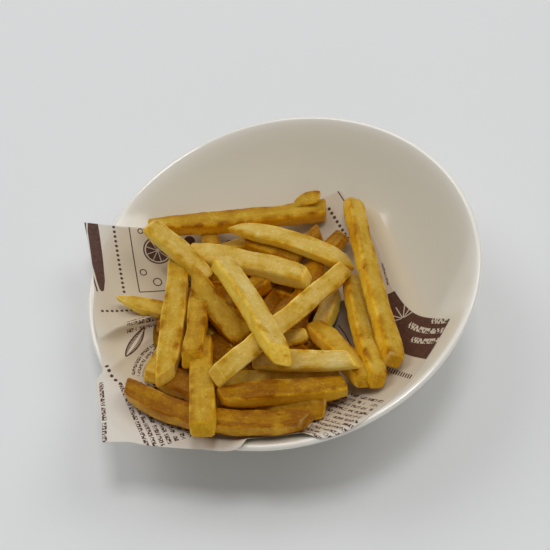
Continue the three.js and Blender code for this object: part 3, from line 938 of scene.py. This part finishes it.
# Short fries thrown over the lens. Those that reach past its edge are left out.
def fillerRows(draw):
    rows = []
    for number in range(heapCore["fillers"]):
        far, compass = 0.72 * np.sqrt(draw.uniform()), draw.uniform(0, 2 * np.pi)
        spot = heapCore["middle"] + heapCore["half"] * far * np.array([np.cos(compass), np.sin(compass)])
        turn = draw.uniform(0, np.pi)
        reach = draw.uniform(*heapCore["fillerLength"]) / 2 * mm
        ends = np.array([spot - reach * np.array([np.cos(turn), np.sin(turn)]),
                         spot + reach * np.array([np.cos(turn), np.sin(turn)])])
        inside = np.linalg.norm((ends - heapCore["middle"]) / heapCore["half"], axis=1)
        height = wallHeight(ends[:, 0], ends[:, 1]) + draw.uniform(*heapCore["raised"], 2) * mm
        (ax, ay), (bx, by) = ends / mm
        width, thick = draw.uniform(*heapCore["fillerSize"], 2)
        # painted shade: the short fries take dark browns
        if inside.max() < 0.98:
            rows.append(((ax, ay, height[0] / mm), (bx, by, height[1] / mm), width, thick,
                         draw.uniform(-30, 30), 0, (0.9, 0.9), (8, 8), (0, 0), (0, 0),
                         (draw.uniform(0.8, 1.0), draw.uniform(0.7, 0.9))))
    return rows


def makeFries(name, rows, material, seed):
    draw = np.random.default_rng(seed)
    labels = ("corner", "tip", "edge", "paintedFlankLight", "tone", "own")
    parts = {key: [] for key in ("points", "quads", "triangles", *labels)}
    first = 0
    around = fryShape["around"]
    for row in rows:
        points, marks, count = fryPoints(row, draw)
        parts["points"].append(insideBowl(points))
        parts["quads"].append(gridFaces(count, around, True, first))
        poles = first + count * around
        parts["triangles"].append(fanFaces(first, around, poles, True))
        parts["triangles"].append(fanFaces(first + (count - 1) * around, around, poles + 1, False))
        for key, values in marks.items():
            parts[key].append(values)
        first += len(points)
    points, count, turns = corePoints(draw)
    parts["points"].append(points)
    parts["quads"].append(gridFaces(count, turns, True, first)[:, ::-1])
    parts["triangles"].append(first + fanFaces(0, turns, count * turns, True)[:, ::-1])
    parts["triangles"].append(first + fanFaces((count - 1) * turns, turns, count * turns + 1, False)[:, ::-1])
    # painted shade: the lens takes the darkest brown
    for key, value in (("corner", 0.0), ("tip", 0.0), ("edge", 0.0), ("paintedFlankLight", 0.0), ("tone", 1.0)):
        parts[key].append(np.full(len(points), value))
    parts["own"].append(points)
    whole = {key: np.concatenate(value) for key, value in parts.items()}
    placed = whole["points"] + (bowl["footX"], 0, 0)
    marks = {key: whole[key] for key in labels}
    piece = makePiece(name, placed, whole["quads"], whole["triangles"], material, marks)
    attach(piece, "root")
    return piece


crust = dict(
    stops=[
        (0.00, (0.93, 0.745, 0.31)),
        (0.22, (0.84, 0.59, 0.135)),
        (0.50, (0.675, 0.41, 0.030)),
        (0.78, (0.50, 0.230, 0.003)),
        (1.00, (0.31, 0.100, 0.001)),
    ],
    # painted highlight: the pale rim round each cut end, in patches
    edge=(0.88, 0.69, 0.24),
    paintedTopShade=(0.84, 0.83, 0.86),      # painted light and shade: top faces painted darker, the sides painted lighter
    paintedFlankLight=(1.30, 1.25, 0.74),
    oil=(1.0, 0.74, 0.20),
    roughness=0.18,
    # how much browner or paler each pattern makes the crust
    cornerShare=0.62,
    tipShare=0.12,
    patternShares=(0.68, 0.32, 0.28, 0.2),    # patches, mottle, streaks, grain
    # painted glints: fine pale flecks
    glintShare=-0.15,
    scorchShare=0.30,
    streakPull=0.16,               # below 1, streaks run along the fry
    relief=0.30 * mm,
    glowDepth=2.5 * mm,
)


def fryMaterial():
    wiring = Wiring("fried_potato")
    where = wiring.add("ShaderNodeTexCoord").outputs["Object"]
    corner, tip, edge, paintedFlankLight, tone = (wiring.add("ShaderNodeAttribute", attribute_name=key).outputs["Fac"]
                                      for key in ("corner", "tip", "edge", "paintedFlankLight", "tone"))
    own = wiring.add("ShaderNodeAttribute", attribute_name="own").outputs["Vector"]
    stretch = {0: own, 1: (crust["streakPull"], 1.0, 1.0)}
    drawnOut = wiring.add("ShaderNodeVectorMath", stretch, operation="MULTIPLY").outputs[0]
    streaks = wiring.noise(drawnOut, 520.0, 2.0, 0.6)
    patches = wiring.noise(where, 85.0, 2.0, 0.5)
    mottle = wiring.noise(where, 360.0, 3.0, 0.6)
    grain = wiring.noise(where, 1250.0, 2.0, 0.6)
    toasted = wiring.calc("MULTIPLY_ADD", wiring.noise(where, 150.0, 1.0), 3.0, -1.2, clamp=True)
    brown = wiring.calc("MULTIPLY_ADD", wiring.calc("MULTIPLY", corner, toasted), crust["cornerShare"], tone)
    brown = wiring.calc("MULTIPLY_ADD", tip, crust["tipShare"], brown)
    for pattern, share in zip((patches, mottle, streaks, grain), crust["patternShares"]):
        centred = wiring.calc("SUBTRACT", pattern, 0.5)
        brown = wiring.calc("MULTIPLY_ADD", centred, share, brown, clamp=pattern == grain)
    # painted glints: fine pale flecks lighten the crust
    paintedGlints = wiring.calc("MULTIPLY_ADD", wiring.noise(where, 900.0, 1.0), 8.0, -4.6, clamp=True)
    scorched = wiring.calc("MULTIPLY_ADD", wiring.noise(where, 260.0, 1.0), 9.0, -6.3, clamp=True)
    brown = wiring.calc("MULTIPLY_ADD", paintedGlints, crust["glintShare"], brown)
    brown = wiring.calc("MULTIPLY_ADD", scorched, crust["scorchShare"], brown, clamp=True)
    base = wiring.ramp(brown, crust["stops"])
    # painted light and shade: top faces darker, the sides lighter
    shade = wiring.mix(paintedFlankLight, (*crust["paintedTopShade"], 1), (*crust["paintedFlankLight"], 1))
    base = wiring.add("ShaderNodeVectorMath", {0: base, 1: shade}, operation="MULTIPLY").outputs[0]
    # painted highlight: the rim of each cut end is mixed towards pale, in patches
    capRimHighlight = wiring.calc("MULTIPLY", edge, wiring.calc("MULTIPLY_ADD", patches, 5.0, -2.8, clamp=True))
    wiring.set(Base_Color=wiring.mix(capRimHighlight, base, (*crust["edge"], 1)))
    wiring.set(Roughness=wiring.calc("MULTIPLY_ADD", mottle, 0.30, crust["roughness"]))
    relief = wiring.calc("MULTIPLY_ADD", streaks, 0.8, wiring.calc("MULTIPLY_ADD", mottle, 0.9, grain))
    wiring.set(Normal=wiring.bump(relief, 0.6, crust["relief"]))
    wiring.set(Specular_IOR_Level=0.4, Specular_Tint=(*crust["oil"], 1.0))
    wiring.set(Subsurface_Weight=0.4, Subsurface_Radius=(1.0, 0.5, 0.1), Subsurface_Scale=crust["glowDepth"])
    return wiring.material


potato = fryMaterial()
heap = makeFries("fries_heap", fries + crumbs + fillerRows(np.random.default_rng(11)), potato, 7)
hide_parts("fries")
print("fries made:", len(fries))
